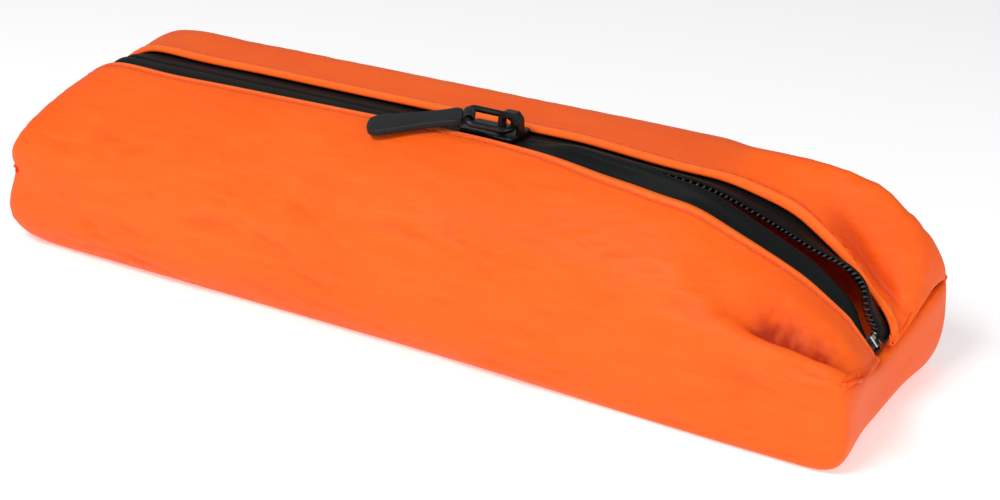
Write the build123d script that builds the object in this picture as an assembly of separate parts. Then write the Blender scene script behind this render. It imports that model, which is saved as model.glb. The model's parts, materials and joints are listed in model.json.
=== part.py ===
from build123d import *
import math
import os

# Soft leather pencil case with a zip along the top.  Millimetres.
# +X runs along the case towards the open end, +Y is the back, +Z is up.
# The origin is the middle of the footprint, on the surface the case stands on.

# ---- driving dimensions ----
case_length = 210.0
case_width = 60.0
zip_height = 43.0            # leather surface beside the closed zip
leather = 1.3                # leather thickness
slot_half = 5.2              # zip slot, half width between the two hems
mouth_from_end = 93.0        # the two sides of the zip part this far from the open end
mouth_end_gap = 7.0          # and meet again this far from it
tape_clear = 0.2             # between the leather's inner face and the tape
tape_thick = 0.5
tape_half_gap = 0.55         # middle of the zip to the tape's inner edge
tape_under_hem = 5.5         # tape sewn in beyond the hem edge
coil_width = 2.2
coil_height = 1.3
stitch_inset = 2.4           # stitch line, in from the hem edge
stitch_pitch = 3.2
stitch_length = 2.2
slider_before_mouth = 7.0    # slider's tail to the start of the mouth
slider_length = 13.3
wire_r = 0.7                 # pull link wire
link_length = 9.6            # between the two end bars, centre to centre
link_width = 6.6
tab_length = 22.0
tab_thick = 1.6
pull_yaw = 26.0              # the pull lies back over the front panel
pull_roll = 12.0
link_rise = 10.0
tab_fall = 9.4

half_length = case_length / 2
half_width = case_width / 2
mouth_start = half_length - mouth_from_end
mouth_end = half_length - mouth_end_gap
tape_sink = leather + tape_clear         # tape's upper face, below the leather surface
slider_tail_x = mouth_start - slider_before_mouth
slider_nose_x = slider_tail_x + slider_length

# The stations and the lips of the mouth are drawn at these sizes.  A longer case has a
# longer closed stretch and the same ends; a higher one has every height in proportion,
# and a wider one lips that lean out further.
drawn_half_length = 105.0
drawn_half_width = 30.0
drawn_height = 43.0
stretch = half_length - drawn_half_length
widen = half_width / drawn_half_width
rise = zip_height / drawn_height


def moved(x):
    return x - stretch if x < 0 else x + stretch


# Stations along the case: x, height at the zip, height of the front shoulder,
# height of the back shoulder, share of the full half width, lowest z.
drawn_stations = [
    (-105.0, 19.0, 14.5, 16.0, 0.84, 7.0),
    (-104.4, 25.0, 18.5, 21.0, 0.91, 3.5),
    (-103.2, 31.0, 23.0, 27.5, 0.955, 1.2),
    (-101.0, 36.0, 27.0, 34.0, 0.98, 0.0),
    (-98.0, 39.8, 29.0, 38.6, 0.995, 0.0),
    (-94.0, 42.1, 29.8, 41.4, 1.0, 0.0),
    (-90.0, 43.0, 30.0, 42.3, 1.0, 0.0),
    (19.0, 43.0, 30.0, 42.3, 1.0, 0.0),
    (35.0, 43.7, 30.0, 42.6, 1.0, 0.0),
    (50.0, 43.5, 30.0, 42.8, 1.0, 0.0),
    (58.0, 42.6, 29.6, 42.6, 1.0, 0.0),
    (64.0, 41.2, 29.2, 42.4, 1.0, 0.0),
    (71.0, 38.4, 28.4, 42.2, 1.0, 0.0),
    (77.5, 35.1, 27.2, 42.0, 1.0, 0.0),
    (83.5, 31.6, 25.6, 41.6, 0.995, 0.0),
    (88.5, 28.1, 24.0, 40.6, 0.99, 0.0),
    (93.0, 24.5, 22.4, 38.2, 0.98, 0.0),
    (97.5, 20.3, 20.0, 33.6, 0.97, 0.0),
    (101.0, 16.4, 17.4, 27.6, 0.95, 0.0),
    (103.4, 13.6, 15.6, 22.8, 0.92, 1.2),
    (104.6, 11.8, 13.8, 18.6, 0.89, 3.2),
    (105.0, 10.4, 11.8, 15.0, 0.85, 5.0),
]
stations = [(moved(x), h * rise, front * rise, back * rise, share, low)
            for x, h, front, back, share, low in drawn_stations]


def lerp_station(x):
    """Heights and width at any x, on the straight line between two stations."""
    x = min(max(x, stations[0][0]), stations[-1][0])
    for a, b in zip(stations, stations[1:]):
        if a[0] <= x <= b[0]:
            k = (x - a[0]) / (b[0] - a[0])
            return [p + (q - p) * k for p, q in zip(a, b)]
    return list(stations[-1])


# How far each side of the open zip has moved out from its closed place.  The soft
# top leans to the front past the slider, so the back side first follows it forward.
front_lip = [(6, 0), (12, 0), (22, 1.0), (35, 3.9), (43, 5.5), (50, 6.3), (57, 6.5),
             (64, 6.1), (71, 5.0), (77, 3.8), (84, 2.4), (90, 1.2), (98, 0), (104, 0)]
back_lip = [(6, 0), (12, 0), (22, -0.3), (35, -2.5), (43, -4.1), (50, -4.7), (57, -3.8),
            (63, -1.4), (69, 1.0), (75, 3.0), (81, 3.8), (87, 3.1), (92, 1.5), (98, 0),
            (104, 0)]
front_lip = [(moved(x), out * widen) for x, out in front_lip]
back_lip = [(moved(x), out * widen) for x, out in back_lip]


def spread(x, side):
    """How far the zip's front (-1) or back (1) side stands out of line at x."""
    if x <= mouth_start or x >= mouth_end:
        return 0.0
    table = front_lip if side < 0 else back_lip
    i = max(k for k in range(1, len(table) - 2) if table[k][0] <= x)
    (x0, a), (x1, b), (x2, c), (x3, d) = table[i - 1:i + 3]
    k = (x - x1) / (x2 - x1)
    slope1 = (c - a) / (x2 - x0) * (x2 - x1)
    slope2 = (d - b) / (x3 - x1) * (x2 - x1)
    part = k * k * (3 - 2 * k)
    return b + (c - b) * part + slope1 * k * (1 - k) ** 2 - slope2 * k * k * (1 - k)


def top_z(x, y, half=half_width):
    """Height of the leather's outer face on the top panel."""
    _, h, front, back, share, _ = lerp_station(x)
    w = half * share
    reach = abs(y) - slot_half
    if reach <= 0:
        return h
    if y < 0:
        return h - (h - front) * (reach / (0.875 * w - slot_half)) ** 2
    return h - (h - back) * (reach / (0.70 * w - slot_half)) ** 2


# ---- the leather body ----
def side_points(station, side):
    """Outline of one side, from the zip slot's edge down to the base."""
    x, h, front, back, share, low = station
    w = half_width * share
    if side < 0:
        ends, top, shape = (-1, front), 0.875, [
            (0.96, 0.80), (0.997, 0.55), (0.992, 0.30), (0.945, 0.08)]
        steps = (0.25, 0.5, 0.75, 1.0)
    else:
        ends, top, shape = (1, back), 0.70, [
            (0.86, 0.93), (0.955, 0.80), (0.998, 0.52), (0.994, 0.24), (0.95, 0.07)]
        steps = (0.34, 0.67, 1.0)
    sign, shoulder = ends
    pts = [(sign * slot_half, h)]
    for k in steps:
        y = slot_half + k * (top * w - slot_half)
        pts.append((sign * y, h - (h - shoulder) * k * k))
    for fy, fz in shape:
        pts.append((sign * fy * w, low + fz * (shoulder - low)))
    pts.append((sign * 0.84 * w, low))
    return pts


def inset_points(pts, depth, sign):
    """Move an outline inward, square to itself."""
    out = []
    for i, (y, z) in enumerate(pts):
        if i == 0:
            out.append((y, z - depth))
        elif i == len(pts) - 1:
            out.append((y, z + depth))
        else:
            dy = pts[i + 1][0] - pts[i - 1][0]
            dz = pts[i + 1][1] - pts[i - 1][1]
            size = math.hypot(dy, dz)
            out.append((y + sign * dz / size * depth, z - sign * dy / size * depth))
    return out


def section(station, depth):
    """Closed outline across the case at one station, moved in by depth."""
    x = station[0]
    over = abs(x) - (half_length - 5.0)
    if over > 0:
        x -= math.copysign(depth * over / 5.0, x)
    back = inset_points(side_points(station, 1), depth, 1)
    front = inset_points(side_points(station, -1), depth, -1)
    to3d = [[Vector(x, y, z) for y, z in pts] for pts in (back, front)]
    b, f = to3d
    return Wire([
        Edge.make_line(f[0], b[0]),
        Edge.make_spline(b),
        Edge.make_line(b[-1], f[-1]),
        Edge.make_spline(f[::-1]),
    ])


def body_loft(depth):
    return Solid.make_loft([section(s, depth) for s in stations], ruled=True)


def slot_cutter():
    """Everything above the zip slot and the open mouth."""
    xs = [mouth_start + (mouth_end - mouth_start) * i / 32 for i in range(33)]
    back = [(x, slot_half + spread(x, 1)) for x in xs]
    front = [(x, -slot_half - spread(x, -1)) for x in reversed(xs)]
    far = half_length + 5
    outline = [(-far, slot_half)] + back + [(far, slot_half), (far, -slot_half)]
    outline += front + [(-far, -slot_half)]
    plan = Face(Wire.make_polygon([Vector(x, y, 0) for x, y in outline], close=True))
    cuts = []
    for low, end in ((21 * rise, -1), (13.2 * rise, 1)):
        tall = extrude(Pos(0, 0, low) * plan, 2 * zip_height, dir=(0, 0, 1))
        half = Box(far + 5, 2 * case_width, 4 * zip_height)
        cuts.append(tall & (Pos(end * (far + 5) / 2, 0, zip_height) * half))
    return cuts


leather_wrap = body_loft(0.0) - body_loft(leather)
for cut in slot_cutter():
    leather_wrap -= cut


# ---- the zip's path, over the top and down both ends ----
path = [(0.4 - half_length, 23.0 * rise)] + [(s[0], s[1]) for s in stations[1:-2]]


def path_frames():
    """Point, direction and outward normal at each point of the zip's path."""
    frames = []
    for i, (x, z) in enumerate(path):
        a = path[max(i - 1, 0)]
        b = path[min(i + 1, len(path) - 1)]
        t = Vector(b[0] - a[0], 0, b[1] - a[1]).normalized()
        frames.append((Vector(x, 0, z), t, Vector(-t.Z, 0, t.X)))
    return frames


mouth_cuts = [mouth_start + (mouth_end - mouth_start) * k / 16 for k in range(17)]


def zip_frames(first, last):
    """Path frames with extra ones where the mouth opens and closes."""
    frames = [f for f in path_frames() if first <= f[0].X <= last]
    for x in mouth_cuts:
        near = min(abs(f[0].X - x) for f in frames)
        if near > 2.0 and first <= x <= last:
            h0, h1 = lerp_station(x - 2)[1], lerp_station(x + 2)[1]
            t = Vector(4, 0, h1 - h0).normalized()
            frames.append((Vector(x, 0, lerp_station(x)[1]), t, Vector(-t.Z, 0, t.X)))
    return sorted(frames, key=lambda f: f[0].X)


def strip(frames, profile):
    """Thin solid along the zip.  profile gives (y, depth) corners at each x."""
    wires = []
    for p, t, n in frames:
        corners = [p + Vector(0, y, 0) - n * d for y, d in profile(p.X, n.Z)]
        wires.append(Wire.make_polygon(corners, close=True))
    return Solid.make_loft(wires, ruled=True)


def steep(x, y, half):
    """Leather's thickness measured straight down, where the top panel slopes."""
    return leather * math.hypot(1, (top_z(x, y + 0.01, half) - top_z(x, y, half)) / 0.01)


def extra_depth(x, y):
    """More room under the leather where a narrower case makes the panel steeper."""
    return steep(x, y, half_width) - steep(x, y, drawn_half_width)


def sag(x, side, half):
    """How far the flat tape hangs below the panel's curve at the coil's outer edge."""
    g = spread(x, side)
    inner, edge, hem = tape_half_gap + g, tape_half_gap + coil_width + g, slot_half + g
    a, b, c = (top_z(x, side * y, half) for y in (inner, edge, hem))
    return b - (a + (c - a) * (edge - inner) / (hem - inner))


def tape_profile(side):
    def profile(x, lean):
        g = spread(x, side)
        inner = tape_half_gap + g
        hem = slot_half + g
        outer = hem + tape_under_hem
        mid = hem + tape_under_hem / 2
        top = []
        for y in (inner, hem, mid, outer):
            fall = (lerp_station(x)[1] - top_z(x, side * y)) * lean
            tuck = (0.3 if y > hem else 0.0) + extra_depth(x, side * y)
            top.append((side * y, tape_sink + fall * 1.04 + tuck))
        return top + [(y, d + tape_thick) for y, d in reversed(top)]
    return profile


def coil_profile(side):
    def profile(x, lean):
        y0 = tape_half_gap + spread(x, side)
        y1 = y0 + coil_width
        fall = (lerp_station(x)[1] - top_z(x, side * y1)) * lean
        bend = sag(x, side, half_width) - sag(x, side, drawn_half_width)
        d = tape_sink + tape_thick + fall + 0.12 + extra_depth(x, side * y1) + bend
        return [(side * y0, d), (side * y1, d), (side * y1, d + coil_height),
                (side * y0, d + coil_height)]
    return profile


tape_frames = zip_frames(-half_length, half_length - 2.0)
coil_frames = zip_frames(1.5 - half_length, mouth_end)
tape_front = strip(tape_frames, tape_profile(-1))
tape_back = strip(tape_frames, tape_profile(1))
coil_front = strip(coil_frames, coil_profile(-1))
coil_back = strip(coil_frames, coil_profile(1))


# ---- end stops, folded over the tape edge ----
def stop_clip(x, z, t, y0, wide, slot_from):
    """U-shaped clip with a slot that takes the tape's edge."""
    n = Vector(-t.Z, 0, t.X)
    place = Plane(origin=Vector(x, y0, z) - n * (tape_sink + tape_thick / 2),
                  x_dir=t, z_dir=n)
    clip = Box(2.4, wide, 1.9)
    clip = fillet(clip.edges().filter_by(Axis.X), 0.3)
    for low, high in slot_from:
        clip -= Pos(0, (low + high) / 2, 0) * Box(4, high - low, tape_thick + 0.16)
    return place.location * clip


t_end = Vector(1, 0, -1.12).normalized()
top_x = half_length - 4.8
top_stop_z = lerp_station(top_x)[1]
top_stop_front = stop_clip(top_x, top_stop_z, t_end, -1.15, 1.9, [(-1.2, 0.65)])
top_stop_back = stop_clip(top_x, top_stop_z, t_end, 1.15, 1.9, [(-0.65, 1.2)])
t_low = Vector(0.6, 0, 6.0).normalized()
bottom_stop = stop_clip(0.55 - half_length, 24.5 * rise, t_low, 0.0, 4.6, [(-2.4, -0.48), (0.48, 2.4)])


# ---- topstitching beside each hem ----
def topstitch(side):
    stitches = []
    x = 9.0 - half_length
    while x < half_length - 8.0:
        y = side * (slot_half + stitch_inset + spread(x, side))
        d = 0.5
        here = Vector(x, y, top_z(x, y))
        ahead = side * (slot_half + stitch_inset + spread(x + d, side))
        t = (Vector(x + d, ahead, top_z(x + d, ahead)) - here).normalized()
        across = Vector(x, y + d, top_z(x, y + d)) - here
        n = t.cross(across).normalized()
        place = Plane(origin=here + n * 0.36, x_dir=t, z_dir=n)
        stitches.append(place.location * Box(stitch_length, 0.45, 0.4))
        x += stitch_pitch * t.X
    return Compound(children=stitches)


front_topstitch = topstitch(-1)
back_topstitch = topstitch(1)


# ---- slider ----
tape_top = zip_height - tape_sink
tape_low = tape_top - tape_thick
coil_edge = tape_half_gap + coil_width   # coil's outer edge, from the middle
plate_low = tape_top + 0.3
plate_top = plate_low + 1.3
under_top = tape_low - 0.12 - coil_height - 0.3
under_low = under_top - 1.2


def shield(tail_half, nose_half, z0, z1):
    """Slider plate: narrow at the tail, shouldered and rounded at the nose."""
    x0, x1 = slider_tail_x, slider_nose_x
    pts = [(x0, -tail_half), (x0 + 5.5, -tail_half), (x0 + 9.0, -nose_half),
           (x1, -nose_half), (x1, nose_half), (x0 + 9.0, nose_half),
           (x0 + 5.5, tail_half), (x0, tail_half)]
    face = Face(Wire.make_polygon([Vector(x, y, z0) for x, y in pts], close=True))
    plate = extrude(face, z1 - z0)
    plate = fillet(plate.edges().filter_by(Axis.Z), 0.9)
    return fillet(plate.faces().sort_by(Axis.Z)[-1].edges(), 0.35)


def flange(side):
    """Wall that holds the coil in, flared where the two sides part."""
    x0, x1 = slider_tail_x + 0.6, slider_nose_x - 0.6
    inner, outer = coil_edge + 0.55, coil_edge + 1.35
    pts = [(x0, inner), (x0 + 6.5, inner), (x1, inner + 0.85), (x1, outer + 0.65),
           (x0 + 6.5, outer), (x0, outer)]
    wire = Wire.make_polygon([Vector(x, side * y, under_low) for x, y in pts], close=True)
    return extrude(Face(wire), tape_low - 0.3 - under_low, dir=(0, 0, 1))


def post():
    """Wedge inside the nose that parts the two coils."""
    x1 = slider_nose_x - 0.8
    pts = [(x1 - 4.6, 0.0), (x1 - 3.4, 0.38), (x1, 0.38), (x1, -0.38), (x1 - 3.4, -0.38)]
    face = Face(Wire.make_polygon([Vector(x, y, under_low + 0.5) for x, y in pts], close=True))
    return extrude(face, plate_low + 0.5 - (under_low + 0.5), dir=(0, 0, 1))


window_low = plate_top
window_top = plate_top + 3.2
crown_x0, crown_x1 = slider_tail_x + 7.9, slider_nose_x + 0.3
crown_half = 1.0


def crown():
    """Arch along the slider that the pull link hangs in."""
    top = window_top + 1.3
    x0, x1 = crown_x0, crown_x1
    side_view = [(x0, plate_top - 0.5), (x0 + 0.2, top - 1.2), (x0 + 1.3, top),
                 (x1 - 1.4, top), (x1 - 0.3, top - 1.3), (x1, plate_top - 0.5)]
    foot = [Vector(x, -crown_half, z) for x, z in side_view]
    face = Face(Wire.make_polygon(foot, close=True))
    arch = extrude(face, 2 * crown_half, dir=(0, 1, 0))
    arch = fillet(arch.edges().filter_by(Axis.Y).sort_by(Axis.Z)[-4:], 0.6)
    hole = Box(x1 - x0 - 2.3, 4, window_top - window_low)
    hole = fillet(hole.edges().filter_by(Axis.Y).sort_by(Axis.Z)[-2:], 0.8)
    return arch - Pos((x0 + x1) / 2, 0, (window_low + window_top) / 2) * hole


slider_body = shield(slot_half - 1.3, slot_half - 0.7, plate_low, plate_top)
slider_body += Rot(180, 0, 0) * shield(slot_half - 1.3, slot_half - 0.4, -under_top, -under_low)
slider_body += flange(1) + flange(-1) + post() + crown()


# ---- pull link and pull tab ----
def pull_plane(origin, rise):
    """Frame of a pull piece: x along it, y along its hinge, z its upper side."""
    yaw, lift, roll = (math.radians(a) for a in (pull_yaw, rise, pull_roll))
    along = Vector(-math.cos(yaw) * math.cos(lift), -math.sin(yaw) * math.cos(lift),
                   math.sin(lift))
    flat = Vector(math.sin(yaw), -math.cos(yaw), 0)
    up = along.cross(flat)
    across = flat * math.cos(roll) - up * math.sin(roll)
    return Plane(origin=origin, x_dir=along, z_dir=along.cross(across))


link_pivot = Vector(crown_x0 + 3.4, 0, (window_low + window_top) / 2)
link_plane = pull_plane(link_pivot, link_rise)
tab_pivot = link_pivot + link_plane.x_dir * link_length
tab_plane = pull_plane(tab_pivot, -tab_fall)
hinge_axis = link_plane.y_dir

half_link = link_width / 2
nose_r = 2.6
foot_r = 0.95
loop = [
    Line((nose_r, -half_link), (link_length - foot_r, -half_link)),
    RadiusArc((link_length - foot_r, -half_link), (link_length, -half_link + foot_r), -foot_r),
    Line((link_length, -half_link + foot_r), (link_length, half_link - foot_r)),
    RadiusArc((link_length, half_link - foot_r), (link_length - foot_r, half_link), -foot_r),
    Line((link_length - foot_r, half_link), (nose_r, half_link)),
    RadiusArc((nose_r, half_link), (0, half_link - nose_r), -nose_r),
    Line((0, half_link - nose_r), (0, -half_link + nose_r)),
    RadiusArc((0, -half_link + nose_r), (nose_r, -half_link), -nose_r),
]
loop_wire = Wire([e.edge() for e in loop])
wire_section = Plane(origin=(link_length / 2, -half_link, 0), z_dir=(1, 0, 0))
pull_link = link_plane.location * sweep(wire_section * Circle(wire_r), path=loop_wire)


def tab_outline():
    """Plan of the tab: narrow eye, waist and a wider rounded grip."""
    half = [(-1.35, 1.7), (1.4, 1.7), (1.4, 2.4), (2.8, 2.8), (7.0, 2.65), (12.0, 2.8),
            (17.0, 3.25), (tab_length - 0.4, 3.55)]
    pts = [(x, -y) for x, y in half] + [(x, y) for x, y in reversed(half)]
    return Face(Wire.make_polygon([Vector(x, y, 0) for x, y in pts], close=True))


tab = extrude(Pos(0, 0, -tab_thick / 2) * tab_outline(), tab_thick)
ends = tab.edges().filter_by(Axis.Z).sort_by(Axis.X)[-2:]
tab = fillet(ends, 2.2)
tab += Rot(90, 0, 0) * Cylinder(wire_r + 0.65, link_width - 3.2)
tab -= Rot(90, 0, 0) * Cylinder(wire_r + 0.2, 6)
pull_tab = tab_plane.location * tab

# ---- write one file per piece ----
pieces = {
    "leather_wrap": leather_wrap,
    "zip_tape_front": tape_front,
    "zip_tape_back": tape_back,
    "zip_coil_front": coil_front,
    "zip_coil_back": coil_back,
    "bottom_stop": bottom_stop,
    "top_stop_front": top_stop_front,
    "top_stop_back": top_stop_back,
    "front_topstitch": front_topstitch,
    "back_topstitch": back_topstitch,
    "slider_body": slider_body,
    "pull_link": pull_link,
    "pull_tab": pull_tab,
}
os.makedirs("parts", exist_ok=True)
for name, shape in pieces.items():
    export_step(shape, f"parts/{name}.step")
    box = shape.bounding_box()
    print(name, round(shape.volume, 1), box.min, box.max, len(shape.solids()))
print("link pivot", link_pivot, "tab pivot", tab_pivot, "axis", hinge_axis)
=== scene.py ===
import json
import math

import bpy
import numpy as np
from mathutils import Matrix, Vector, noise


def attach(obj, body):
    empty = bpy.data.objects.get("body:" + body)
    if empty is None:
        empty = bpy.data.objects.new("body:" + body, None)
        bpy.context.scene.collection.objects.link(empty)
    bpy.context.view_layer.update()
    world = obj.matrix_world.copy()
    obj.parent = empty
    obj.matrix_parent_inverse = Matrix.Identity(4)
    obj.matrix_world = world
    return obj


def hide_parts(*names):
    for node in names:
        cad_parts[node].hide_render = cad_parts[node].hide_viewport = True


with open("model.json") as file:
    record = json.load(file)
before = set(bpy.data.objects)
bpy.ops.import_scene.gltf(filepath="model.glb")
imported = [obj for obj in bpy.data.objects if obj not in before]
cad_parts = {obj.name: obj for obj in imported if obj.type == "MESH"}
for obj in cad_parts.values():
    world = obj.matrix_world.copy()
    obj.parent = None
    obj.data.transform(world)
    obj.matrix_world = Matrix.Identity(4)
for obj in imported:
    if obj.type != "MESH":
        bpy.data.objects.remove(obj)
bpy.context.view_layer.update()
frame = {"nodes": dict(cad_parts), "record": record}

MM = 0.001
LEATHER = 1.3          # leather thickness, mm
TAPE_SINK = 1.5        # tape's upper face below the leather's outer face
TAPE_LEVEL = 41.5      # its height along the closed zip
TAPE_THICK = 0.5
ZIP_FRAMES = 520
TAPE_SHOWN = 5.05      # tape that shows between the hem and the middle of the zip
STITCH_INSET = 2.4     # stitch line, in from the hem edge
STITCH_PITCH = 3.2
COIL_PITCH = 1.27
COIL_REACH = 1.05      # half the coil's width
COIL_RISE = 0.62       # half its height
COIL_WIRE = 0.27       # radius of its wire
THREAD = 0.21          # radius of the stitching thread
TAB_LENGTH = 22.0
TAB_HALF_THICK = 0.8
TAB_YAW = 26.0         # the tab lies back over the front panel, degrees
TAB_FALL = 9.4
NET_LINES = 21         # lines that run along the wrap, hem to hem
SEAM_TIPS = (6, 15)    # lines at the ends of the end seam
SEAM_TUCK = 1.5        # how far the seam allowance turns in


# ---------------------------------------------------------------- smooth curves
def smooth_through(knots, values, at):
    """Natural cubic spline through values at knots, read at the places in at."""
    k = np.asarray(knots, float)
    v = np.asarray(values, float)
    n = len(k)
    flat = v.reshape(n, -1)
    h = np.diff(k)
    a = np.zeros((n, n))
    b = np.zeros_like(flat)
    a[0, 0] = a[-1, -1] = 1.0
    for i in range(1, n - 1):
        a[i, i - 1], a[i, i], a[i, i + 1] = h[i - 1], 2 * (h[i - 1] + h[i]), h[i]
        b[i] = 6 * ((flat[i + 1] - flat[i]) / h[i] - (flat[i] - flat[i - 1]) / h[i - 1])
    m = np.linalg.solve(a, b)
    at = np.asarray(at, float)
    i = np.clip(np.searchsorted(k, at, side="right") - 1, 0, n - 2)
    t = (at - k[i])[:, None]
    hi = h[i][:, None]
    rise = (flat[i + 1] - flat[i]) / hi - hi * (2 * m[i] + m[i + 1]) / 6
    out = flat[i] + t * rise + t ** 2 * m[i] / 2 + t ** 3 * (m[i + 1] - m[i]) / (6 * hi)
    return out.reshape((len(at),) + v.shape[1:])


def ease(low, high, x):
    """0 below low, 1 above high, smooth between."""
    t = np.clip((np.asarray(x, float) - low) / (high - low), 0, 1)
    return t * t * (3 - 2 * t)


def hump(x, middle, width):
    return np.exp(-((np.asarray(x, float) - middle) / width) ** 2)


def unit(v):
    return v / np.maximum(np.linalg.norm(v, axis=-1, keepdims=True), 1e-12)


def noise_at(points, scale, seed):
    """Gradient noise, about -1 to 1, at points in mm.  scale is per axis, in mm."""
    p = np.asarray(points, float).reshape(-1, 3) / np.asarray(scale, float) + seed
    vals = [noise.noise(q) for q in p.tolist()]
    return np.array(vals).reshape(np.asarray(points).shape[:-1])


# ---------------------------------------------------------------- the leather wrap
# Cross sections of the wrap, mm.  Each runs from the front hem over the front
# shoulder, under the base and up the back to the back hem: NET_LINES points in all.
def wall(x):
    """The lower half of a section: the base corners are squarer towards the open end."""
    w = 25.3 + 2.2 * float(ease(0, 90, x))
    tip = 15.5 + 2.2 * float(ease(55, 95, x))
    return [(-29.8, tip), (-29.1, 5.2), (-w, 0.35), (-17.5, 0.0), (-6.0, 0.0), (6.0, 0.0),
            (17.5, 0.0), (w, 0.5), (29.2, 6.0), (29.9, 16.5)]


def walled(x, front, back):
    """Whole section from the front and back points, each given hem first."""
    return front + wall(x) + back[::-1]


def closed_section(x, h, front_out, back_out, dip):
    """Section where the zip is closed, or only leans to one side.

    h is the height at the zip, front_out and back_out how far each hem has moved from
    the closed zip's middle, and dip how far the front hem hangs below the back one.
    """
    hem_f = -5.2 - front_out
    hem_b = 5.2 + back_out
    ys = [hem_f + k * (-26.3 - hem_f) for k in (0, 0.22, 0.48, 0.76, 1.0)]
    front = [(y, h - 0.0292 * max(-y - 5.2, 0) ** 2 - dip) for y in ys]
    front.append((-29.2, 23.4))
    back = [(hem_b, h), ((hem_b + 22.6) * 0.47, h + 0.3), (22.6, 42.9), (28.1, 37.0),
            (29.6, 27.4)]
    return x, walled(x, front, back)


def slumped_section(x, front, back):
    """Section near the open end."""
    return x, walled(x, front, back)


SECTIONS = [
    closed_section(-88, 42.8, 0.9, 0, 0.7), closed_section(-76, 43.0, 0.9, 0, 0.7),
    closed_section(-58, 43.0, 0.8, 0, 0.6), closed_section(-40, 43.0, 0.6, 0, 0.4),
    closed_section(-22, 43.0, 0.4, 0, 0.2), closed_section(-6, 43.0, 0.1, 0, 0.1),
    closed_section(6, 43.0, 0, 0, 0.0), closed_section(14, 43.0, 0.2, 0, 0.0),
    closed_section(22, 43.1, 1.0, -0.3, 0.0), closed_section(30, 43.5, 2.7, -1.5, 0.0),
    closed_section(37, 43.7, 4.3, -2.9, 0.0), closed_section(44, 43.7, 5.6, -4.1, 0.0),
    closed_section(51, 43.5, 6.3, -4.7, 0.0), closed_section(57, 42.9, 6.5, -3.8, 0.0),
    slumped_section(
        64,
        [(-11.3, 40.6), (-15.0, 39.0), (-19.0, 36.4), (-23.2, 32.8), (-26.4, 28.6), (-28.9, 22.6)],
        [(4.2, 41.3), (12.0, 42.8), (20.5, 43.1), (27.2, 37.2), (29.5, 28.0)]),
    slumped_section(
        71,
        [(-10.2, 37.6), (-14.3, 36.1), (-18.5, 33.6), (-22.8, 29.9), (-26.6, 26.9), (-29.2, 21.6)],
        [(6.8, 38.5), (13.0, 41.2), (20.5, 43.0), (27.1, 37.0), (29.4, 27.8)]),
    slumped_section(
        77,
        [(-9.1, 34.7), (-13.6, 33.4), (-18.2, 30.7), (-22.6, 26.4), (-26.9, 25.2), (-29.6, 20.4)],
        [(9.3, 35.3), (14.0, 38.6), (20.4, 42.8), (27.0, 36.8), (29.3, 27.6)]),
    slumped_section(
        82,
        [(-7.9, 32.0), (-12.5, 31.0), (-17.2, 28.4), (-21.9, 23.2), (-27.2, 23.6), (-29.9, 19.2)],
        [(10.2, 32.0), (14.4, 34.6), (20.4, 42.1), (26.8, 36.6), (29.2, 27.2)]),
    slumped_section(
        87,
        [(-6.8, 29.0), (-11.6, 28.2), (-16.6, 26.2), (-21.6, 21.0), (-27.1, 22.5), (-29.8, 19.0)],
        [(10.2, 28.8), (14.2, 30.4), (20.2, 41.0), (26.3, 36.2), (29.0, 26.6)]),
    slumped_section(
        91.5,
        [(-5.9, 25.6), (-11.0, 25.4), (-16.2, 24.4), (-21.6, 20.2), (-26.6, 21.9), (-29.3, 19.2)],
        [(9.5, 25.8), (13.8, 26.2), (20.0, 39.0), (25.8, 35.0), (28.7, 26.0)]),
    slumped_section(
        95.5,
        [(-5.3, 22.4), (-10.6, 22.8), (-15.8, 22.6), (-21.4, 19.5), (-25.9, 21.0), (-28.6, 19.4)],
        [(8.2, 22.8), (12.8, 22.6), (19.6, 36.0), (25.2, 33.0), (28.3, 25.2)]),
]

# Where each line of the wrap meets the end seam.  The seam runs across
# the end wall at half height, and the upper and lower halves of the wrap meet there.
SEAM_LEFT = [(-104.0, -5.4, 18.6), (-104.0, -9.8, 18.6), (-104.0, -14.8, 18.7),
             (-103.9, -19.8, 18.8), (-103.6, -23.6, 19.0), (-103.0, -25.9, 19.1),
             (-102.0, -27.0, 18.9), (-103.0, -25.9, 18.7), (-103.7, -22.4, 18.6),
             (-104.0, -16.5, 18.5), (-104.0, -6.0, 18.4), (-104.0, 6.0, 18.4),
             (-104.0, 16.5, 18.5), (-103.7, 22.4, 18.6), (-103.0, 25.9, 18.7),
             (-102.0, 27.0, 18.9), (-103.0, 25.9, 19.1), (-103.6, 23.6, 19.0),
             (-104.0, 18.0, 18.8), (-104.0, 11.5, 18.7), (-104.0, 4.9, 18.6)]
SEAM_RIGHT = [(101.8, -4.6, 14.2), (102.5, -9.2, 14.9), (103.2, -14.2, 16.0),
              (103.6, -19.2, 17.3), (103.6, -23.4, 18.3), (103.2, -25.9, 18.8),
              (102.5, -27.1, 18.55), (103.1, -25.9, 18.3), (103.5, -22.2, 17.6),
              (103.0, -16.2, 16.2), (102.2, -6.0, 14.0), (102.4, 5.5, 14.9),
              (103.8, 16.0, 17.8), (104.6, 21.6, 19.2), (104.6, 26.2, 20.0),
              (103.6, 27.6, 20.2), (104.0, 26.2, 20.5), (103.5, 22.2, 20.0),
              (103.2, 16.6, 18.6), (102.8, 9.0, 16.4), (102.2, 2.2, 14.6)]
# How far out the lower end wall stands, for the closed end (-1) and the open end (1):
# places across the case, where the wall's curve leaves and arrives, and its drop.
LOW_REACH = {
    -1: ((-27, 27), (105.4, 105.4), (107.8, 107.8), 0.03),
    1: ((-27, -12, 5, 27), (103.8, 101.2, 101.3, 103.7), (105.6, 104.9, 105.2, 106.5), 0.06),
}
UPPER_REACH = (99.0, 106.0, 0.36)
TIP_REACH = (99.5, 104.5, 0.5)
SEAM_LIP = 0.26        # half the step between the upper and lower half at the seam


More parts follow.
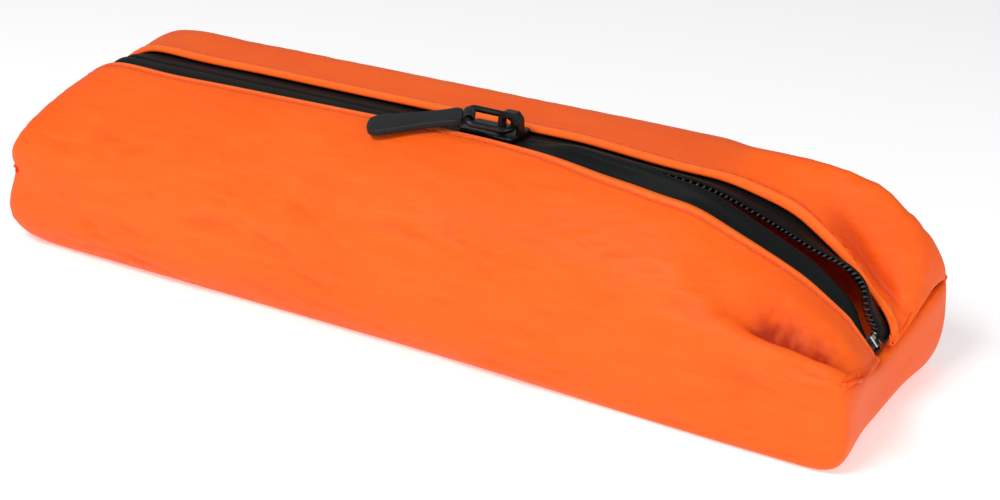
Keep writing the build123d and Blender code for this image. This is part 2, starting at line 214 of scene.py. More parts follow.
def end_rings(section_x, section, seam, out, boxy, shares):
    """Rings that carry the end wall from the last section round to the end seam.

    boxy says, line by line, how squarely the wall turns the corner: 0 slopes straight to
    the seam, 1 runs on and drops.
    """
    rings = []
    for e in shares:
        ring = []
        for j, ((y, z), target) in enumerate(zip(section, seam)):
            low, tip = SEAM_TIPS[0] < j < SEAM_TIPS[1], j in SEAM_TIPS
            p0 = np.array((section_x, y, z))
            p3 = np.array(target)
            straight = (p0 + (p3 - p0) / 3, p0 + (p3 - p0) * 2 / 3)
            near, far, drop = TIP_REACH if tip else UPPER_REACH
            if low:
                spread, nears, fars, drop = LOW_REACH[out]
                near, far = np.interp(y, spread, nears), np.interp(y, spread, fars)
            square = (np.array((out * near, y, z)),
                      np.array((out * far, y + 0.25 * (p3[1] - y), z + drop * (p3[2] - z))))
            p1, p2 = (a + boxy[j] * (b - a) for a, b in zip(straight, square))
            lip = 0.0 if tip else SEAM_LIP - 0.18 * (j in (5, 7, 14, 16))
            p3 = p3 + (0, 0, -lip if low else lip)
            q = (1 - e) ** 3 * p0 + 3 * e * (1 - e) ** 2 * p1
            ring.append(q + 3 * e * e * (1 - e) * p2 + e ** 3 * p3)
        rings.append(np.array(ring))
    tuck = np.array(seam)
    for j in range(NET_LINES):
        low, tip = SEAM_TIPS[0] < j < SEAM_TIPS[1], j in SEAM_TIPS
        from_tip = min(abs(j - k) for k in SEAM_TIPS)
        tuck[j, 0] -= out * min(0.3 + 0.6 * from_tip, SEAM_TUCK)
        tuck[j, 2] += 0.0 if tip else (-0.07 if low else 0.07)
    rings.append(tuck)
    return rings


BOXY_LEFT = [0.7, 0.7, 0.8, 1.0, 1.15, 1.0, 0.6] + [1.0] * 8 + [0.6, 1.0, 1.1, 0.95, 0.85, 0.7]
BOXY_RIGHT = [0.05, 0.12, 0.25, 0.45, 0.7, 0.9, 0.9] + [1.0] * 8 + [0.9, 1.0, 0.9, 0.5, 0.3, 0.4]


def wrap_rings():
    shares = (0.14, 0.27, 0.4, 0.52, 0.64, 0.76, 0.88, 1.0)
    left = end_rings(SECTIONS[0][0], SECTIONS[0][1], SEAM_LEFT, -1, BOXY_LEFT, shares)[::-1]
    right = end_rings(SECTIONS[-1][0], SECTIONS[-1][1], SEAM_RIGHT, 1, BOXY_RIGHT, shares)
    middle = [np.array([(x, y, z) for y, z in sec]) for x, sec in SECTIONS]
    return np.array(left + middle + right)


def cumulative(points, axis):
    """Shared spacing along one direction of the net, from the mean chord."""
    gaps = np.linalg.norm(np.diff(points, axis=axis), axis=-1).mean(axis=1 - axis)
    return np.concatenate([[0], np.cumsum(np.sqrt(gaps * gaps + 0.3))])


ACROSS = 210           # points across the wrap
ALONG = 430            # rings along it
HEM_POINTS = 14        # of them, points packed beside each hem
net = wrap_rings()
u_knots = cumulative(net, 0)
v_knots = cumulative(net, 1)
u_at = np.linspace(0, u_knots[-1], ALONG)
edge_f = np.linspace(0, v_knots[1], HEM_POINTS)[:-1]
edge_b = v_knots[-1] - edge_f[::-1]
between = np.linspace(v_knots[1], v_knots[-2], ACROSS - 2 * HEM_POINTS)
v_at = np.concatenate([edge_f, between, edge_b])
rows = smooth_through(u_knots, net, u_at)
skin = smooth_through(v_knots, rows.transpose(1, 0, 2), v_at).transpose(1, 0, 2)
column = np.interp(v_at, v_knots, np.arange(NET_LINES))    # which line of the net


def grid_normals(grid):
    """Outward normal of the wrap at each point of its grid."""
    du = np.gradient(grid, axis=0)
    dv = np.gradient(grid, axis=1)
    return unit(np.cross(dv, du))


def arc_from_hem(grid):
    """Distance in mm from the front hem and from the back hem, along each ring."""
    steps = np.linalg.norm(np.diff(grid, axis=1), axis=-1)
    front = np.concatenate([np.zeros((len(grid), 1)), np.cumsum(steps, axis=1)], axis=1)
    return front, front[:, -1:] - front


def wrinkle_height(grid):
    """Creases and folds of the soft leather, mm outward, and the painted shade that darkens their
    hollows.
    """
    x, y, z = grid[..., 0], grid[..., 1], grid[..., 2]
    c = np.broadcast_to(column, x.shape)
    sway = 2.6 * np.sin(x / 24.0) + 0.06 * x + 1.4 * np.sin(x / 9.0 + z / 8.0)
    flow = np.stack([x, y * 0.5, z + sway], axis=-1)
    long_folds = noise_at(flow, (30, 26, 7.0), 3.1)
    ripple = noise_at(flow + 1.5 * long_folds[..., None], (13, 12, 1.75), 11.7)
    fine = 0.3 - np.abs(ripple + 0.3 * noise_at(flow, (6.0, 6.0, 1.2), 21.3))
    on_front = ease(2.6, 4.2, c) * (1 - ease(7.4, 8.3, c))
    on_back = ease(12.7, 13.8, c) * (1 - ease(17.0, 18.6, c))
    on_top = (1 - ease(3.0, 4.4, c)) * ease(0.9, 2.0, c) + ease(17.4, 18.4, c) * (
        1 - ease(18.9, 19.7, c))
    patch = 0.45 + 0.75 * np.clip(0.5 + 1.4 * noise_at(grid, (40, 40, 16), 41.0), 0, 1)
    amount = (on_front + 0.85 * on_back) * patch + 0.4 * on_top
    height = amount * (0.34 * long_folds + 0.62 * fine)
    height += 0.55 * on_front * noise_at(grid, (52, 60, 26), 5.9)
    height += 0.55 * on_back * noise_at(grid, (48, 60, 24), 8.3)
    # painted shade: darkens the low lines of the fine wrinkles
    valley_shade = np.clip(-amount * fine * 1.1, 0, 1)
    return height, valley_shade


def open_end_folds(grid):
    """The folds that the slumped open end makes, mm outward, and the painted shade in them."""
    x, z = grid[..., 0], grid[..., 2]
    c = np.broadcast_to(column, x.shape)
    # crease along the front shoulder, with a puckered hollow above it
    line = 3.26 + 0.004 * (x - 84)
    s = (c - line) * 4.6
    along = ease(80.5, 86.5, x) * (1 - 0.35 * ease(97, 104, x))
    crease = -2.3 * along * np.exp(-(s / 1.2) ** 2)
    lip = 0.6 * along * hump(s, 3.2, 2.0)
    hollow = ease(80, 86, x) * (1 - ease(94, 101, x)) * hump(s, -3.0, 2.8)
    pucker = noise_at(grid, (1.9, 2.2, 2.2), 31.0) + 0.6 * noise_at(grid, (1.0, 1.1, 1.1), 4.4)
    height = crease + lip - 1.1 * hollow + 0.3 * hollow * pucker
    # painted shade: darkens the crease, the ground beside it and the puckered hollow
    near = ease(80, 85, x) * (1 - ease(94, 103, x)) * hump(s, -1.5, 2.3)
    painted_shading = np.clip(-crease * 0.8, 0, 1) + near * (0.8 - 0.35 * pucker)
    painted_shading += 0.3 * hollow * np.clip(0.5 - 0.8 * pucker, 0, 1)
    # fan of shallow wrinkles that runs down the front wall from the crease
    fan = np.sin((z * 1.25 + 0.32 * x + 1.5 * noise_at(grid, (14, 14, 8), 9.2)) * 1.05)
    where = hump(x, 84, 15) * ease(4.6, 5.4, c) * (1 - ease(7.0, 7.8, c))
    height += 0.24 * where * fan
    # valley between the back hem strip and the back lobe, with painted shade along it, and one
    # across the corner
    s = (c - (19.0 + 0.010 * (x - 84))) * 6.0
    fold = ease(78, 90, x) * (1 - 0.2 * ease(100, 104, x))
    height += -1.9 * fold * np.exp(-(s / 1.3) ** 2)
    painted_shading += 0.95 * fold * np.exp(-(s / 1.3) ** 2)
    s = (c - 18.0) * 6.0 + (x - 99) * 1.2
    height += -0.5 * hump(x, 99, 4) * np.exp(-(s / 1.6) ** 2)
    return height, np.clip(painted_shading, 0, 1)


def hem_relief(grid):
    """The turned hem: a raised strip at the edge, with a stitch line sunk into it; also painted
    shading, shade along the stitch line and highlight on the strip by the edge.
    """
    front, back = arc_from_hem(grid)
    d = np.minimum(front, back)
    strip = 0.2 * (1 - ease(2.2, 3.0, d)) - 0.65 * (1 - ease(0.0, 1.5, d)) ** 1.5
    groove = -0.24 * hump(d, STITCH_INSET, 0.42)
    run = np.concatenate([[0], np.cumsum(np.linalg.norm(np.diff(grid[:, 0], axis=0), axis=-1))])
    beat = 0.5 - 0.5 * np.cos(2 * math.pi * run / STITCH_PITCH)
    hole = -0.16 * hump(d, STITCH_INSET, 0.34) * (1 - beat[:, None]) ** 3
    # painted shading: shade along the stitch groove, painted highlight on the strip between the
    # edge and the stitch line
    edge = (1 - ease(1.7, 2.3, d)) * ease(0.1, 0.6, d)
    return strip + groove + hole, 0.45 * hump(d, STITCH_INSET, 0.4) - 0.6 * edge


normals = grid_normals(skin)
creases, valley_shade = wrinkle_height(skin)
folds, fold_shade = open_end_folds(skin)
relief, hem_shading = hem_relief(skin)
front_arc, back_arc = arc_from_hem(skin)
hem_near = ease(1.5, 6.0, np.minimum(front_arc, back_arc))
ends = ease(u_knots[2], u_knots[6], u_at) * (1 - ease(u_knots[-8], u_knots[-4], u_at))
hem_ends = ease(u_knots[1], u_knots[3], u_at) * (1 - ease(u_knots[-4], u_knots[-2], u_at))
grounded = ease(0.2, 2.4, skin[..., 2])
lift = (creases * hem_near * grounded + folds * hem_near) * ends[:, None]
lift += relief * hem_ends[:, None]
wrap = skin + normals * lift[..., None]
wrap[..., 2] = np.maximum(wrap[..., 2], 0.0)
# painted shading for the leather colour: shade in wrinkle hollows, folds and the stitch groove,
# highlight on the hem strip
painted_shading_map = valley_shade * 0.34 * hem_near * grounded + fold_shade * hem_near + hem_shading
painted_shading_map = np.clip(painted_shading_map, -1, 1) * np.maximum(ends, 0.35 * hem_ends)[:, None]
wrap_normals = grid_normals(wrap)


def mesh_piece(name, verts, faces, smooth=True):
    """Mesh object from points in mm."""
    mesh = bpy.data.meshes.new(name)
    mesh.from_pydata((np.asarray(verts) * MM).tolist(), [], faces)
    mesh.update()
    if smooth:
        mesh.polygons.foreach_set("use_smooth", [True] * len(mesh.polygons))
    obj = bpy.data.objects.new(name, mesh)
    bpy.context.scene.collection.objects.link(obj)
    return obj


def tube_faces(rings, around, close_ends=False):
    """Quads of a closed loop of points carried along a row of rings."""
    faces = []
    for i in range(rings - 1):
        for j in range(around):
            k = (j + 1) % around
            faces.append((i * around + j, i * around + k, (i + 1) * around + k,
                          (i + 1) * around + j))
    if close_ends:
        faces.append(tuple(range(around))[::-1])
        faces.append(tuple((rings - 1) * around + j for j in range(around)))
    return faces


def build_leather():
    """The wrap with its thickness: outer face, rounded hem edges and inner face."""
    n_u, n_v = wrap.shape[:2]
    thin = 1 - 0.42 * (1 - ease(0.4, 3.2, np.minimum(front_arc, back_arc)))
    inner = wrap - wrap_normals * (LEATHER * thin)[..., None]
    inner[..., 2] = np.maximum(inner[..., 2], 0.35)
    across_f = unit(wrap[:, 0] - wrap[:, 1])
    across_b = unit(wrap[:, -1] - wrap[:, -2])
    turns = np.linspace(0, math.pi, 8)[1:-1]
    rims = []
    for col, out_dir in ((-1, across_b), (0, across_f)):
        mid = (wrap[:, col] + inner[:, col]) / 2
        r = np.linalg.norm(wrap[:, col] - inner[:, col], axis=-1, keepdims=True) / 2
        n = unit(wrap[:, col] - inner[:, col])
        rims.append(np.stack([mid + r * (math.cos(a) * n + 0.8 * math.sin(a) * out_dir)
                              for a in turns], axis=1))
    ring = np.concatenate([wrap, rims[0], inner[:, ::-1], rims[1][:, ::-1]], axis=1)
    around = ring.shape[1]
    faces = tube_faces(n_u, around)
    for i, flip in ((0, True), (n_u - 1, False)):
        for j in range(n_v - 1):
            a, b = j, j + 1
            c, d = n_v + 6 + (n_v - 1 - b), n_v + 6 + (n_v - 1 - a)
            quad = tuple(i * around + q for q in (a, b, c, d))
            faces.append(quad if flip else quad[::-1])
    obj = mesh_piece("leather_body", ring.reshape(-1, 3), faces)
    # painted shading per point on the outer face only, stored as the crease attribute
    painted_shading = np.zeros((n_u, around))
    painted_shading[:, :n_v] = painted_shading_map
    shading_layer = obj.data.attributes.new("crease", "FLOAT", "POINT")
    shading_layer.data.foreach_set("value", painted_shading.reshape(-1))
    inside = np.zeros(len(obj.data.polygons), dtype=np.int32)
    quads = (n_u - 1) * around
    j = np.arange(quads) % around
    inside[:quads] = (j >= n_v + 5) & (j < n_v + 6 + n_v)
    obj.data.polygons.foreach_set("material_index", inside)
    return obj


# ---------------------------------------------------------------- the zip
def hem_frame(side):
    """Hem edge points, with the directions across to the middle and outward."""
    col = 0 if side < 0 else -1
    nxt = 1 if side < 0 else -2
    edge = skin[:, col]
    along = unit(np.gradient(edge, axis=0))
    out = unit(normals[:, col])
    inward = unit(np.cross(along, out)) * (1 if side > 0 else -1)
    wrong = np.sum(inward * (edge - skin[:, nxt]), axis=-1) < 0
    inward[wrong] *= -1
    return edge, inward, out


def zip_lines(side, count):
    """Evenly spaced frames along one side of the zip, from end seam to end seam."""
    edge, inward, out = hem_frame(side)
    for _ in range(6):
        for arr in (inward, out):
            arr[1:-1] = unit(arr[:-2] + 2 * arr[1:-1] + arr[2:])
    flat = flat_zip(edge[:, 0])[:, None]
    inward = unit(inward * (1 - flat) + flat * np.array((0, -side, 0)))
    out = unit(out * (1 - flat) + flat * np.array((0, 0, 1)))
    keep = slice(np.searchsorted(u_at, u_knots[1]), np.searchsorted(u_at, u_knots[-2]))
    edge, inward, out = (a[keep] for a in (edge, inward, out))
    run = np.concatenate([[0], np.cumsum(np.linalg.norm(np.diff(edge, axis=0), axis=-1))])
    at = np.linspace(0, run[-1], count)
    pick = [np.stack([np.interp(at, run, a[:, k]) for k in range(3)], axis=-1)
            for a in (edge, inward, out)]
    return at, pick[0], unit(pick[1]), unit(pick[2])


def mouth_share(x):
    """1 where the two sides of the zip have parted."""
    return ease(19, 34, x) * (1 - ease(92, 100, x))


def flat_zip(x):
    """1 along the closed zip, where the tapes lie level for the slider."""
    return (1 - ease(19, 34, x)) * ease(-96, -88, x)


def shown_tape(edge):
    """Width of tape between the hem and the middle of the zip."""
    to_middle = np.abs(edge[:, 1:2]) - 0.10
    closed = 1 - mouth_share(edge[:, 0])[:, None]
    return TAPE_SHOWN + (np.clip(to_middle, 3.9, 6.6) - TAPE_SHOWN) * closed


# cross section of a tape: distance from the hem towards the middle, and height
TAPE_TOP = [(-6.0, -0.35), (-3.0, -0.3), (-0.6, -0.22), (0.3, -0.05), (1.1, 0.0), (1.9, 0.02),
            (2.5, 0.05), (2.9, 0.12), (3.3, 0.18), (3.7, 0.21), (4.1, 0.21), (4.5, 0.16),
            (4.8, 0.04), (5.0, -0.1), (5.05, -0.25)]


def build_tape(side):
    at, edge, inward, out = zip_lines(side, ZIP_FRAMES)
    x = edge[:, 0]
    parted = mouth_share(x)[:, None]
    shown = shown_tape(edge)
    stand = 0.30 * parted
    level = (TAPE_LEVEL - edge[:, 2:3] + TAPE_SINK) * flat_zip(x)[:, None]
    rings = []
    low = [(s, h - TAPE_THICK) for s, h in TAPE_TOP[::-1]]
    for s, h in TAPE_TOP + low:
        d = np.where(s > 0, s * shown / TAPE_SHOWN, s)
        up = h - TAPE_SINK + np.where(s > 0, stand * d, 0)
        up = up + level * min(max(s / 2.5, 0.25), 1.0)
        rings.append(edge + inward * d + out * up)
    ring = np.stack(rings, axis=1)
    name = "zip_tape_front_cloth" if side < 0 else "zip_tape_back_cloth"
    obj = mesh_piece(name, ring.reshape(-1, 3), tube_faces(len(ring), ring.shape[1], True))
    uv = obj.data.uv_layers.new(name="weave")
    across = np.array([s for s, _ in TAPE_TOP] + [s for s, _ in low])
    loops = np.array([lp.vertex_index for lp in obj.data.loops])
    n = ring.shape[1]
    coords = np.stack([at[loops // n], across[loops % n]], axis=-1)
    uv.data.foreach_set("uv", (coords * 0.1).reshape(-1))
    return obj


def tube_along(points, radius, sides):
    """Round tube along a line of points, as rings of points."""
    t = unit(np.gradient(points, axis=0))
    ref = np.array((0.31, 0.22, 0.93))
    side = unit(np.cross(t, ref))
    up = np.cross(side, t)
    a = np.linspace(0, 2 * math.pi, sides, endpoint=False)
    ring = np.cos(a)[None, :, None] * side[:, None] + np.sin(a)[None, :, None] * up[:, None]
    return points[:, None] + ring * np.reshape(radius, (-1, 1, 1))


def build_coil(side):
    """Nylon coil sewn under the tape's inner edge."""
    at, edge, inward, out = zip_lines(side, ZIP_FRAMES)
    turns = at[-1] / COIL_PITCH - 2
    per = 12
    phase = np.linspace(0, turns * 2 * math.pi, int(turns * per))
    run = (phase / (2 * math.pi) + 1 + (0.5 if side > 0 else 0)) * COIL_PITCH
    e, n, o = (np.stack([np.interp(run, at, a[:, k]) for k in range(3)], axis=-1)
               for a in (edge, inward, out))
    parted = mouth_share(e[:, 0])[:, None]
    shown = shown_tape(e)
    d = shown - 0.75 + COIL_REACH * np.cos(phase)[:, None]
    up = -TAPE_SINK - TAPE_THICK - 0.45 + COIL_RISE * np.sin(phase)[:, None]
    up = up + 0.30 * parted * shown
    up = up + (TAPE_LEVEL - e[:, 2:3] + TAPE_SINK) * flat_zip(e[:, 0])[:, None]
    line = e + unit(n) * d + unit(o) * up
    ring = tube_along(line, COIL_WIRE, 6)
    name = "zip_coil_front_loops" if side < 0 else "zip_coil_back_loops"
    return mesh_piece(name, ring.reshape(-1, 3), tube_faces(len(ring), 6, True))


def surface_at(side, i, distance):
    """Point and normal on the leather at a distance in from the hem, at ring i."""
    arc = front_arc[i] if side < 0 else back_arc[i][::-1]
    pts = wrap[i] if side < 0 else wrap[i][::-1]
    nrm = wrap_normals[i] if side < 0 else wrap_normals[i][::-1]
    p = np.array([np.interp(distance, arc, pts[:, k]) for k in range(3)])
    n = np.array([np.interp(distance, arc, nrm[:, k]) for k in range(3)])
    return p, unit(n)


def build_stitches(side):
    """Thread of the topstitching: short rounded stitches that dive into the leather."""
    first, last = 8, ALONG - 8
    data = [surface_at(side, i, STITCH_INSET) for i in range(first, last)]
    line = np.array([p for p, _ in data])
    nrm = np.array([n for _, n in data])
    base = skin[:, 0]
    full = np.concatenate([[0], np.cumsum(np.linalg.norm(np.diff(base, axis=0), axis=-1))])
    run = full[first:last]
    verts, faces = [], []
    start = math.ceil(run[0] / STITCH_PITCH) * STITCH_PITCH
    while start + STITCH_PITCH < run[-1]:
        s = start + np.linspace(0.28, STITCH_PITCH - 0.28, 9)
        p = np.stack([np.interp(s, run, line[:, k]) for k in range(3)], axis=-1)
        n = np.stack([np.interp(s, run, nrm[:, k]) for k in range(3)], axis=-1)
        arch = np.sin(np.linspace(0, math.pi, 9))
        p = p + unit(n) * (0.34 * arch ** 0.6 - 0.22)[:, None]
        ring = tube_along(p, THREAD * (0.55 + 0.45 * arch ** 0.5), 8)
        offset = len(verts) * 72
        verts.append(ring.reshape(-1, 3))
        faces += [tuple(offset + q for q in f) for f in tube_faces(9, 8, True)]
        start += STITCH_PITCH
    name = "front_stitches" if side < 0 else "back_stitches"
    return mesh_piece(name, np.concatenate(verts), faces)


# ---------------------------------------------------------------- the pull tab
joints = {j["name"]: j for j in frame["record"]["behaviour"]["joints"]}
tab_pivot = np.array(joints["tab_flip"]["pos_m"]) / MM
pull_axis = unit(-np.array(joints["tab_flip"]["axis"]))


def tab_axes():
    """Along the tab, across it, and out of its upper face."""
    yaw, fall = math.radians(TAB_YAW), math.radians(-TAB_FALL)
    along = np.array((-math.cos(yaw) * math.cos(fall), -math.sin(yaw) * math.cos(fall),
                      math.sin(fall)))
    up = unit(np.cross(along, pull_axis))
    return along, unit(np.cross(up, along)), up


def build_tab():
    """Waisted grip with rounded edges, and a rolled eye round the link's bar."""
    along, across, up = tab_axes()
    length = [1.35, 1.45, 1.8, 2.6, 4.5, 7.0, 10.0, 13.0, 16.0, 18.4, 19.8, 20.8, 21.4, 21.8,
              22.0]
    half = [1.9, 2.25, 2.5, 2.75, 2.72, 2.66, 2.72, 2.92, 3.2, 3.42, 3.42, 3.16, 2.72, 2.1, 1.2]
    xs = np.concatenate([length[:4], np.linspace(3.2, 19.0, 30), length[10:]])
    ws = np.interp(xs, length, half)
    ws[3:34] = smooth_through(length, half, xs[3:34])
    thick = TAB_HALF_THICK * (0.55 + 0.45 * np.minimum(1, np.sqrt(np.clip(
        (TAB_LENGTH + 0.02 - xs) / 0.9, 0, 1)))) * (0.8 + 0.2 * ease(1.3, 2.4, xs))
    angles = np.linspace(0, 2 * math.pi, 40, endpoint=False)
    rings = []
    for x, w, t in zip(xs, ws, thick):
        ca, sa = np.cos(angles), np.sin(angles)
        yy = np.sign(ca) * w * np.abs(ca) ** 0.16
        zz = np.sign(sa) * t * np.abs(sa) ** 0.42
        rings.append(x * along + yy[:, None] * across + zz[:, None] * up)
    body = np.array(rings) + tab_pivot
    verts = [body.reshape(-1, 3)]
    faces = tube_faces(len(xs), 40, True)
    # the eye: a short sleeve with rounded lips
    profile = [(-1.7, 1.12), (-1.62, 1.26), (-1.45, 1.34), (1.45, 1.34), (1.62, 1.26),
               (1.7, 1.12), (1.7, 0.98), (1.55, 0.9), (-1.55, 0.9), (-1.7, 0.98)]
    steps = 28
    turn = np.linspace(0, 2 * math.pi, steps, endpoint=False)
    eye = []
    for a in turn:
        radial = math.cos(a) * along + math.sin(a) * up
        eye.append([tab_pivot + y * across + r * radial for y, r in profile])
    eye = np.array(eye)
    offset = len(verts[0])
    verts.append(eye.reshape(-1, 3))
    k = len(profile)
    for i in range(steps):
        for j in range(k):
            a, b = (i + 1) % steps, (j + 1) % k
            faces.append(tuple(offset + q for q in (i * k + j, a * k + j, a * k + b, i * k + b)))
    return mesh_piece("pull_tab_grip", np.concatenate(verts), faces)


# ---------------------------------------------------------------- shader building
class Value:
    """A shader socket that can stand in sums: each operator adds its Math node."""

    def __init__(self, shader, socket):
        self.shader = shader
        self.socket = socket

    def op(self, name, other=None, flip=False):
        a, b = (other, self) if flip else (self, other)
        inputs = {k: v for k, v in {0: a, 1: b}.items() if v is not None}
        return self.shader.node("ShaderNodeMath", {"operation": name}, inputs)

    def __add__(self, other):
        return self.op("ADD", other)

    def __radd__(self, other):
        return self.op("ADD", other)

    def __sub__(self, other):
        return self.op("SUBTRACT", other)

    def __rsub__(self, other):
        return self.op("SUBTRACT", other, flip=True)

    def __mul__(self, other):
        return self.op("MULTIPLY", other)

    def __rmul__(self, other):
        return self.op("MULTIPLY", other)

    def clamp(self, low=0.0, high=1.0):
        return self.shader.node("ShaderNodeClamp", {}, {"Value": self, "Min": low, "Max": high})


class Shader:
    """A node material with one principled surface."""

    def __init__(self, name, **settings):
        self.material = bpy.data.materials.new(name)
        self.material.use_nodes = True
        self.tree = self.material.node_tree
        self.tree.nodes.clear()
        shine = self.node("ShaderNodeBsdfPrincipled", {}, {})
        self.surface = shine.socket.node
        self.node("ShaderNodeOutputMaterial", {}, {"Surface": shine}, None)
        for key, value in settings.items():
            self.feed(key.replace("_", " "), value)

    def feed(self, socket, value):
        self.plug(self.surface.inputs[socket], value)

    def plug(self, socket, value):
        if isinstance(value, Value):
            self.tree.links.new(value.socket, socket)
        else:
            socket.default_value = value

    def node(self, kind, settings, inputs, out=0):
        made = self.tree.nodes.new(kind)
        for key, value in settings.items():
            setattr(made, key, value)
        for key, value in inputs.items():
            self.plug(made.inputs[key], value)
        return None if out is None else Value(self, made.outputs[out])

    def place(self, scale):
        """Position on the piece, in units of 1/scale mm."""
        spot = self.node("ShaderNodeTexCoord", {}, {}, "Object")
        factor = tuple(1000.0 * s for s in scale)
        return self.node("ShaderNodeVectorMath", {"operation": "MULTIPLY"}, {0: spot, 1: factor})

    def noise(self, where, scale, detail=3.0, rough=0.55, distort=0.0):
        return self.node("ShaderNodeTexNoise", {}, {
            "Vector": where, "Scale": scale, "Detail": detail, "Roughness": rough,
            "Distortion": distort})

    def cells(self, where, scale, feature="F1", out="Distance"):
        return self.node("ShaderNodeTexVoronoi", {"feature": feature}, {
            "Vector": where, "Scale": scale}, out)

    def blend(self, share, a, b):
        """Mix of two colours."""
        return self.node("ShaderNodeMix", {"data_type": "RGBA"}, {0: share, 6: a, 7: b}, 2)

    def bump(self, height, strength, distance):
        made = self.node("ShaderNodeBump", {}, {
            "Height": height, "Strength": strength, "Distance": distance}, "Normal")
        self.feed("Normal", made)


def rgb(r, g, b):
    return (r, g, b, 1.0)


def leather_finish():
    s = Shader("soft orange leather", Roughness=0.5, Specular_IOR_Level=0.17)
    where = s.place((1, 1, 1))
    grain = s.cells(where, 1.15, "SMOOTH_F1")
    pores = s.noise(where, 2.6, 3.0, 0.6)
    cloud = s.noise(s.place((0.5, 1, 1)), 0.05, 3.0, 0.5)
    streak = s.noise(s.place((0.16, 0.5, 1)), 0.55, 4.0, 0.6, 0.6)
    # painted shading read from the mesh's crease attribute
    crease = s.node("ShaderNodeAttribute", {"attribute_name": "crease"}, {}, "Fac")
    warm = s.blend(cloud.clamp(), rgb(0.90, 0.094, 0.005), rgb(0.97, 0.135, 0.011))
    warm = s.blend(((streak - 0.46) * 0.8).clamp(), warm, rgb(1.0, 0.185, 0.03))
    # painted highlight where the attribute is negative (hem strip), painted shade towards dark red
    # where it is positive (creases, folds, wrinkle hollows, stitch groove)
    pale = s.blend((crease * -0.9).clamp(), warm, rgb(1.0, 0.20, 0.03))
    shaded_colour = s.blend((crease * 0.95).clamp(), pale, rgb(0.42, 0.020, 0.0006))
    s.feed("Base Color", shaded_colour)
    s.feed("Roughness", ((streak * 0.16) + 0.40 + grain * 0.08).clamp())
    s.bump(grain * 0.5 + pores * 0.35 + streak * 1.2, 0.32, 0.0003)
    return s.material


def flesh_side_finish():
    s = Shader("leather flesh side", Roughness=0.95, Sheen_Weight=0.3, Specular_IOR_Level=0.2)
    fibre = s.noise(s.place((1, 1, 1)), 1.6, 6.0, 0.75, 0.8)
    s.feed("Base Color", s.blend(fibre.clamp(), rgb(0.42, 0.075, 0.018), rgb(0.62, 0.16, 0.05)))
    s.bump(fibre, 0.5, 0.0004)
    return s.material


def tape_finish():
    s = Shader("black zip tape", Roughness=0.42, Specular_IOR_Level=0.10)
    uv = s.node("ShaderNodeUVMap", {"uv_map": "weave"}, {})
    run, across = (s.node("ShaderNodeSeparateXYZ", {}, {0: uv}, axis) for axis in "XY")
    twill = ((run * 130.0 + across.op("PINGPONG", 0.11) * 190.0).op("SINE") * 0.5) + 0.5
    rib = (across * 210.0).op("SINE") * 0.5 + 0.5
    speck = s.noise(s.place((1, 1, 1)), 3.0, 2.0, 0.5)
    s.feed("Base Color", s.blend(twill * 0.5 + speck * 0.3, rgb(0.002, 0.0026, 0.0026),
                                 rgb(0.009, 0.0105, 0.010)))
    s.feed("Roughness", (twill * 0.1 + 0.42).clamp())
    s.bump(twill * 0.6 + rib * 0.3, 0.35, 0.00012)
    return s.material


def coil_finish():
    s = Shader("nylon coil", Roughness=0.35)
    haze = s.noise(s.place((1, 1, 1)), 1.4, 2.0)
    s.feed("Base Color", s.blend(haze.clamp(), rgb(0.008, 0.0085, 0.009),
                                 rgb(0.02, 0.021, 0.021)))
    s.bump(haze, 0.1, 0.0001)
    return s.material


def thread_finish():
    s = Shader("tone on tone thread", Roughness=0.7, Sheen_Weight=0.2)
    ply = s.node("ShaderNodeTexWave", {"bands_direction": "DIAGONAL"}, {
        "Vector": s.place((1, 1, 1)), "Scale": 1.6, "Distortion": 0.6})
    s.feed("Base Color", s.blend(ply * 0.8, rgb(0.72, 0.07, 0.006), rgb(0.9, 0.105, 0.012)))
    s.bump(ply, 0.5, 0.0001)
    return s.material


def metal_finish(name, dark, light, rough, grain):
    s = Shader(name, Metallic=1.0)
    where = s.place((1, 1, 1))
    smudge = s.noise(where, 0.35, 4.0, 0.6, 0.4)
    scratch = s.noise(s.place((0.3, 3.0, 1.0)), 2.2, 3.0, 0.65)
    s.feed("Base Color", s.blend((smudge * 0.7 + scratch * 0.3).clamp(), dark, light))
    s.feed("Roughness", (smudge * 0.22 + scratch * 0.1 + rough).clamp())
    s.bump(scratch, grain, 0.00005)
    return s.material


def tab_enamel():
    s = Shader("dark grey enamel", Roughness=0.5, Specular_IOR_Level=0.20)
    where = s.place((1, 1, 1))
    orange_peel = s.noise(where, 1.3, 3.0, 0.5)
    rub = s.noise(where, 0.22, 3.0, 0.6)
    base = s.blend(rub.clamp(), rgb(0.006, 0.007, 0.0075), rgb(0.017, 0.019, 0.021))
    s.feed("Base Color", base)
    s.feed("Roughness", (rub * 0.2 + 0.36).clamp())
    s.bump(orange_peel, 0.12, 0.0001)
    return s.material


leather_mat = leather_finish()
flesh_mat = flesh_side_finish()
tape_mat = tape_finish()
coil_mat = coil_finish()
thread_mat = thread_finish()
slider_mat = metal_finish("gunmetal", rgb(0.010, 0.011, 0.012), rgb(0.055, 0.058, 0.06),
                          0.22, 0.12)
stop_mat = metal_finish("bright stop metal", rgb(0.45, 0.45, 0.44), rgb(0.7, 0.7, 0.69),
                        0.22, 0.15)
tab_mat = tab_enamel()


def dress(obj, slot_name, body, node_names, *materials):
    """Give a piece its material and body, and put it in place of its CAD nodes."""
    obj.data.materials.clear()
    for m in materials:
        obj.data.materials.append(m)
    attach(obj, body)
    if node_names:
        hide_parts(*node_names)


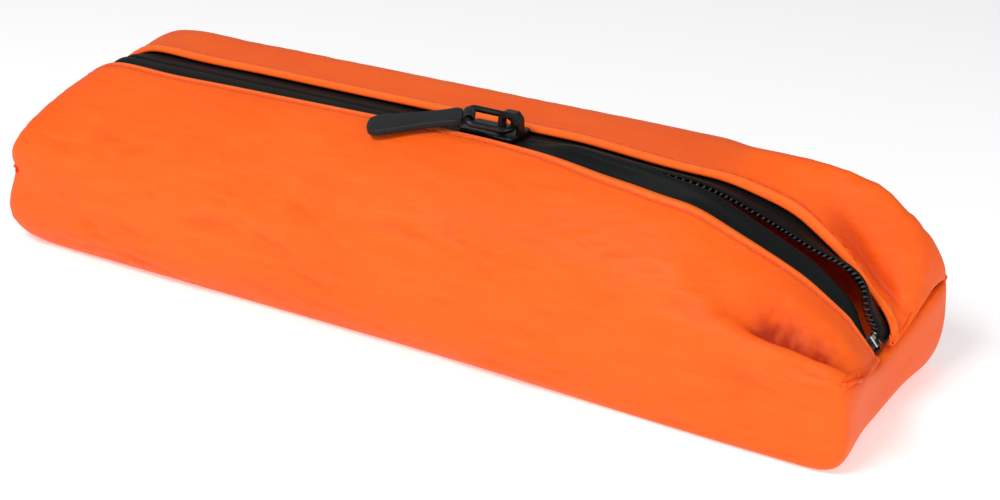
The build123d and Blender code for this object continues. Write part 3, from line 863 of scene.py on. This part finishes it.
leather_obj = build_leather()
dress(leather_obj, "leather", "case", ["leather_wrap"], leather_mat, flesh_mat)
for side, word in ((-1, "front"), (1, "back")):
    dress(build_tape(side), "zip_tape", "case", [f"zip_tape_{word}"], tape_mat)
    dress(build_coil(side), "zip_coil", "case", [f"zip_coil_{word}"], coil_mat)
    dress(build_stitches(side), "thread", "case", [f"{word}_topstitch"], thread_mat)
dress(build_tab(), "tab_finish", "pull_tab", ["pull_tab"], tab_mat)

for node_name, material in (("slider_body", slider_mat), ("pull_link", slider_mat),
                            ("bottom_stop", stop_mat), ("top_stop_front", stop_mat),
                            ("top_stop_back", stop_mat)):
    node = frame["nodes"][node_name]
    for slot in node.material_slots:
        slot.material = material
    node.data.polygons.foreach_set("use_smooth", [True] * len(node.data.polygons))
    node.data.set_sharp_from_angle(angle=math.radians(35))


# ---------------------------------------------------------------- floor, light, camera
floor = mesh_piece("floor", [(-2500, -2500, 0), (2500, -2500, 0), (2500, 2500, 0),
                             (-2500, 2500, 0)], [(0, 1, 2, 3)], smooth=False)
floor.location.z = -0.00002
pale = Shader("pale floor", Base_Color=rgb(0.86, 0.86, 0.86), Roughness=0.9,
              Specular_IOR_Level=0.1, Emission_Strength=1.0,
              Emission_Color=rgb(0.36, 0.36, 0.36))
floor.data.materials.append(pale.material)

world = bpy.data.worlds.new("studio")
bpy.context.scene.world = world
world.use_nodes = True
world.node_tree.nodes["Background"].inputs["Color"].default_value = rgb(1.0, 1.0, 1.0)
world.node_tree.nodes["Background"].inputs["Strength"].default_value = 0.39


def soft_light(name, place, aim, size, power):
    lamp = bpy.data.lights.new(name, "AREA")
    lamp.shape = "RECTANGLE"
    lamp.size, lamp.size_y = size
    lamp.energy = power
    obj = bpy.data.objects.new(name, lamp)
    obj.location = place
    obj.rotation_euler = (Vector(aim) - Vector(place)).to_track_quat("-Z", "Y").to_euler()
    bpy.context.scene.collection.objects.link(obj)


soft_light("key", (-0.06, -0.40, 0.50), (0.02, 0, 0.02), (0.24, 0.18), 2.25)
soft_light("low front", (0.10, -0.62, 0.16), (0.0, 0, 0.02), (0.40, 0.20), 0.68)
soft_light("end", (0.62, -0.12, 0.30), (0.05, 0, 0.02), (0.22, 0.22), 0.85)

AZIMUTH, ELEVATION, ROLL = (math.radians(a) for a in (29.7, 23.0, 1.54))
AIM = Vector((0.0193, -0.0096, 0.0200))
DISTANCE, FOCAL_SHARE = 0.3688, 1.740


def set_camera():
    """Camera at the case's usual three-quarter view, rolled a little."""
    back = Vector((math.sin(AZIMUTH) * math.cos(ELEVATION),
                   -math.cos(AZIMUTH) * math.cos(ELEVATION), math.sin(ELEVATION)))
    right = (-back).cross(Vector((0, 0, 1))).normalized()
    up = right.cross(-back)
    x = right * math.cos(ROLL) + up * math.sin(ROLL)
    y = up * math.cos(ROLL) - right * math.sin(ROLL)
    data = bpy.data.cameras.new("camera")
    data.sensor_width = 36.0
    data.lens = 36.0 * FOCAL_SHARE
    data.clip_start = 0.01
    cam = bpy.data.objects.new("camera", data)
    turn = Matrix((x, y, back)).transposed()
    cam.matrix_world = Matrix.Translation(AIM + back * DISTANCE) @ turn.to_4x4()
    bpy.context.scene.collection.objects.link(cam)
    bpy.context.scene.camera = cam


set_camera()
bpy.context.scene.view_settings.view_transform = "Standard"
